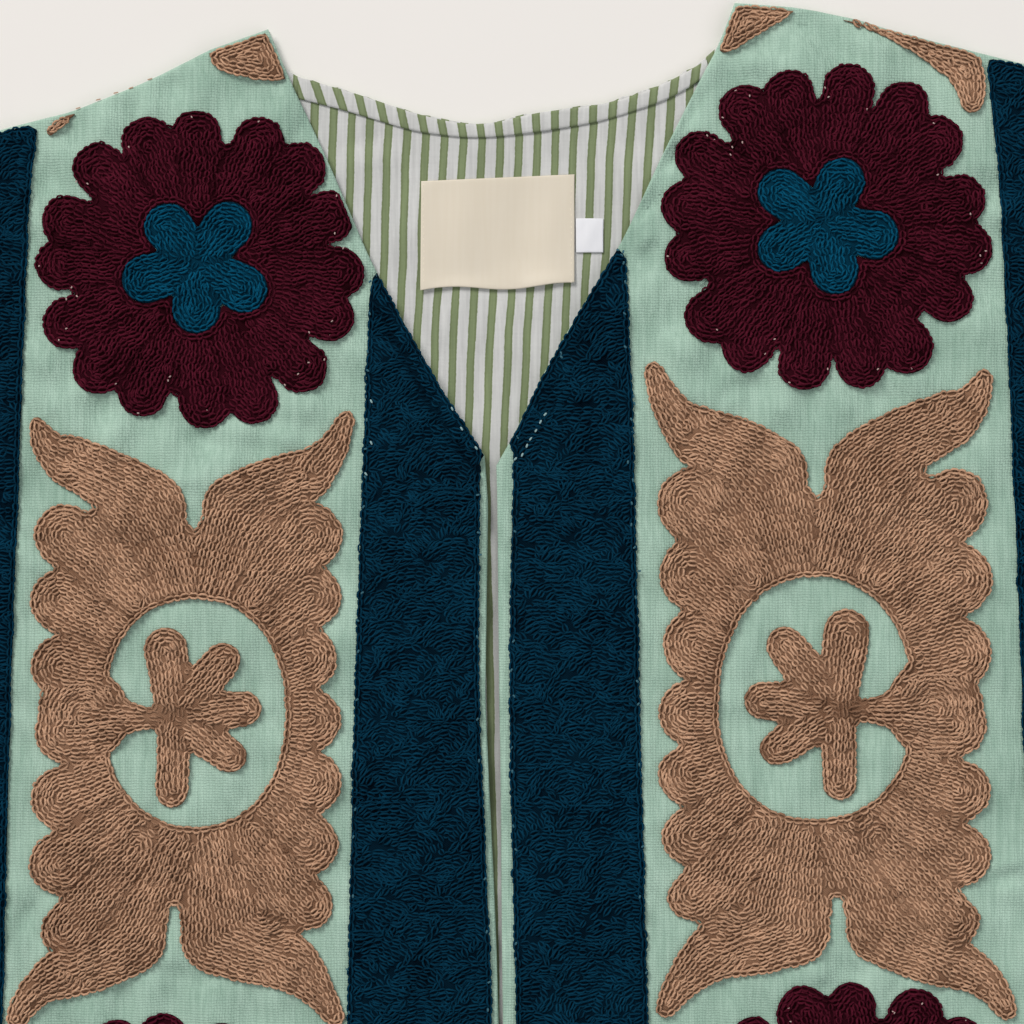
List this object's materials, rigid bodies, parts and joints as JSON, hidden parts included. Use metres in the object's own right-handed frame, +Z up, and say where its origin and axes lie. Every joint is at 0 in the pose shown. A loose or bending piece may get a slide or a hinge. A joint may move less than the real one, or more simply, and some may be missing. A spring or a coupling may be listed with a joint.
{
  "type": "embroidered wool jacket (laid flat)",
  "caption": "Open-front wool jacket laid flat, face up, with chain-stitched bands, rosettes and medallions and a striped lining.",
  "frame": {"origin": "middle of the jacket's box, on the surface that it lies on", "axes": "+X towards the wearer's left, +Y towards the neck, +Z up, out of the face"},
  "size_m": [1.4058, 0.6498, 0.0117],
  "materials": {
    "mint_wool": "plain woven wool with a soft slub, matte",
    "striped_cotton": "plain woven cotton, white with sage stripes, matte",
    "satin": "woven satin ribbon, soft sheen",
    "white_tape": "woven tape, matte",
    "teal_yarn": "dense chain stitch in dark teal wool yarn",
    "maroon_yarn": "thick chain stitch in maroon wool yarn",
    "blue_yarn": "thick chain stitch in blue wool yarn",
    "tan_yarn": "thick chain stitch in tan wool yarn"
  },
  "bodies": {
    "root": {"back": "mint_wool", "back_lining": "striped_cotton", "neck_band": "striped_cotton", "label": "satin", "size_tab": "white_tape", "front_left": "mint_wool", "front_right": "mint_wool", "top_sleeve_left": "mint_wool", "top_sleeve_right": "mint_wool", "under_sleeve_left": "mint_wool", "under_sleeve_right": "mint_wool", "front_band_left": "teal_yarn", "front_band_right": "teal_yarn", "side_band_left": "teal_yarn", "side_band_right": "teal_yarn", "rosette_left_upper": "maroon_yarn", "rosette_left_lower": "maroon_yarn", "rosette_right_upper": "maroon_yarn", "rosette_right_lower": "maroon_yarn", "flower_left_upper": "blue_yarn", "flower_left_lower": "blue_yarn", "flower_right_upper": "blue_yarn", "flower_right_lower": "blue_yarn", "medallion_left": "tan_yarn", "medallion_right": "tan_yarn", "neck_leaf_left": "tan_yarn", "neck_leaf_right": "tan_yarn", "shoulder_leaf_left": "tan_yarn", "shoulder_leaf_right": "tan_yarn"}
  },
  "joints": []
}
